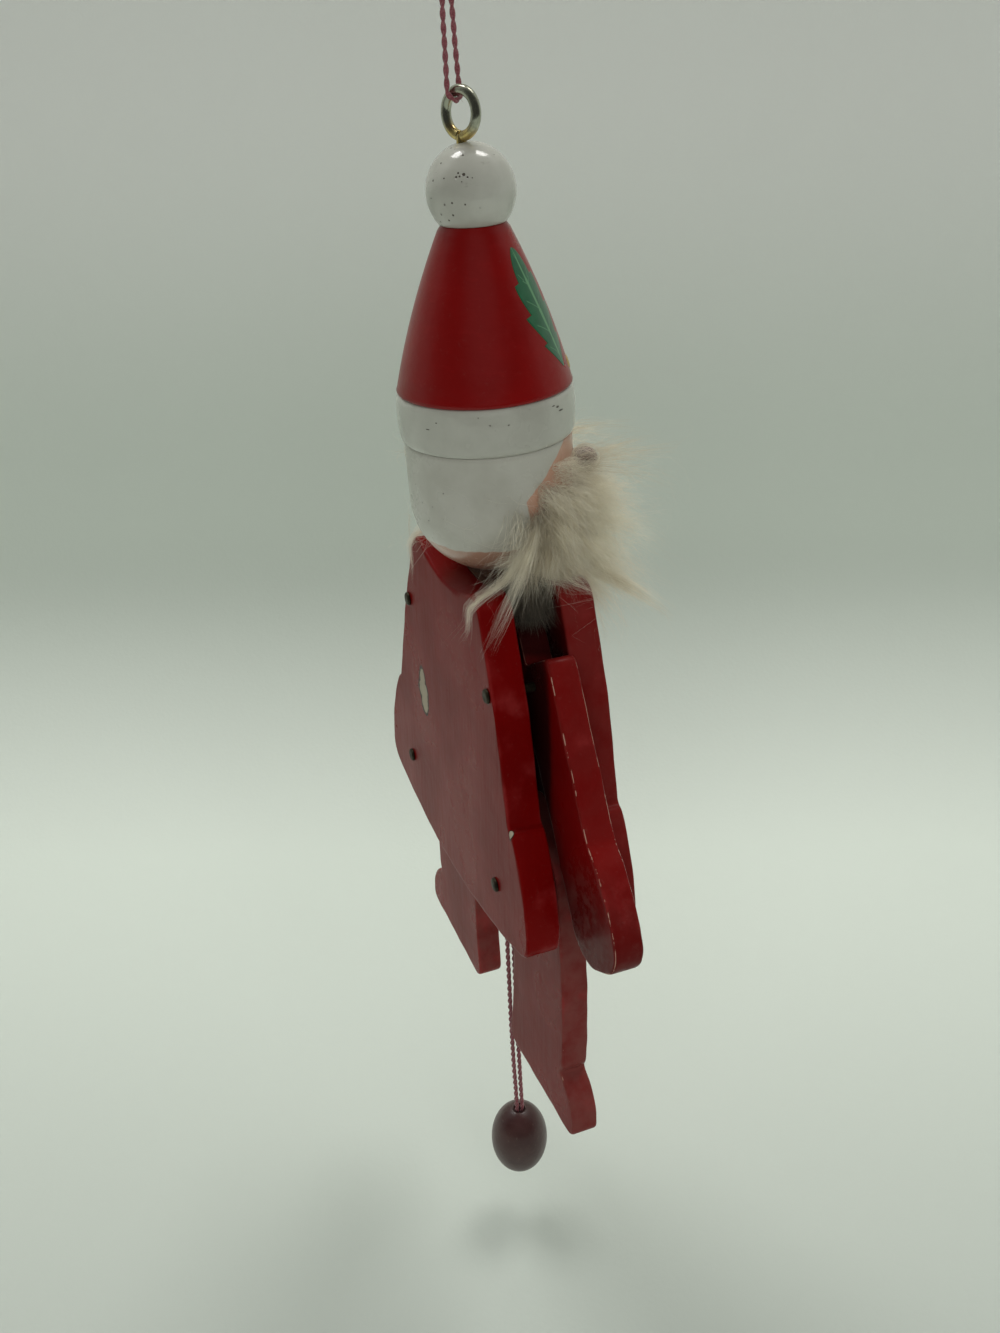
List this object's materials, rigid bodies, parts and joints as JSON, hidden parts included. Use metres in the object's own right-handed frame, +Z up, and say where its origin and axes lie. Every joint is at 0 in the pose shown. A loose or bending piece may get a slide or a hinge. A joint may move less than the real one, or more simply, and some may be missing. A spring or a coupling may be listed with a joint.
{
  "type": "pull string jumping jack",
  "caption": "Wooden pull string jumping jack: a bearded winter figure in a red coat and pointed cap whose arms and legs swing up when the beaded cord is pulled.",
  "frame": {"origin": "middle of the screw eye on top of the bobble, where the toy hangs", "axes": "+Z up along the hanging toy, -Y towards the front that the face looks to, +X to the figure's left"},
  "size_m": [0.0864, 0.0385, 0.206],
  "materials": {
    "red_paint": "gloss",
    "white_paint": "gloss",
    "head_paint": "satin",
    "nose_paint": "satin",
    "bare_wood": "matte",
    "bead_paint": "satin",
    "fur": "matte",
    "thread": "matte",
    "eye_metal": "gloss",
    "nail_metal": "satin"
  },
  "bodies": {
    "figure": {"back_board": "red_paint", "front_board": "red_paint", "neck_block": "bare_wood", "neck_peg": "bare_wood", "head_ball": "head_paint", "nose": "nose_paint", "beard": "fur", "cap_band": "white_paint", "cap_cone": "red_paint", "cap_bobble": "white_paint", "screw_eye": "eye_metal", "left_shoulder_nail": "nail_metal", "right_shoulder_nail": "nail_metal", "left_hip_nail": "nail_metal", "right_hip_nail": "nail_metal", "hanging_cord": "thread", "hanging_knot": "thread"},
    "left_arm_body": {"left_arm": "red_paint", "left_arm_tie": "thread"},
    "right_arm_body": {"right_arm": "red_paint", "right_arm_tie": "thread"},
    "left_leg_body": {"left_leg": "red_paint", "left_leg_tie": "thread"},
    "right_leg_body": {"right_leg": "red_paint", "right_leg_tie": "thread"},
    "pull_line": {"pull_cord": "thread", "arm_string": "thread", "leg_string": "thread", "pull_bead": "bead_paint", "bead_knot": "thread"}
  },
  "joints": [
    {"name": "pull_slide", "type": "slide", "parent": "figure", "child": "pull_line", "axis": [0, 0, -1], "range_m": [0, 0.0099], "deforming": ["arm_string", "leg_string"]},
    {"name": "left_shoulder", "type": "hinge", "parent": "figure", "child": "left_arm_body", "pos_m": [0.0169, -0.00401, -0.06991], "axis": [0, -1, 0], "range_deg": [0, 80]},
    {"name": "right_shoulder", "type": "hinge", "parent": "figure", "child": "right_arm_body", "pos_m": [-0.0169, -0.00401, -0.06991], "axis": [0, 1, 0], "range_deg": [0, 80]},
    {"name": "left_hip", "type": "hinge", "parent": "figure", "child": "left_leg_body", "pos_m": [0.019, -0.00401, -0.09991], "axis": [0, -1, 0], "range_deg": [0, 63]},
    {"name": "right_hip", "type": "hinge", "parent": "figure", "child": "right_leg_body", "pos_m": [-0.019, -0.00401, -0.09991], "axis": [0, 1, 0], "range_deg": [0, 63]}
  ],
  "couplings": [
    {"joint": "left_shoulder", "follows": "pull_slide", "rad_per_m": 141},
    {"joint": "right_shoulder", "follows": "pull_slide", "rad_per_m": 141},
    {"joint": "left_hip", "follows": "pull_slide", "rad_per_m": 111},
    {"joint": "right_hip", "follows": "pull_slide", "rad_per_m": 111}
  ]
}
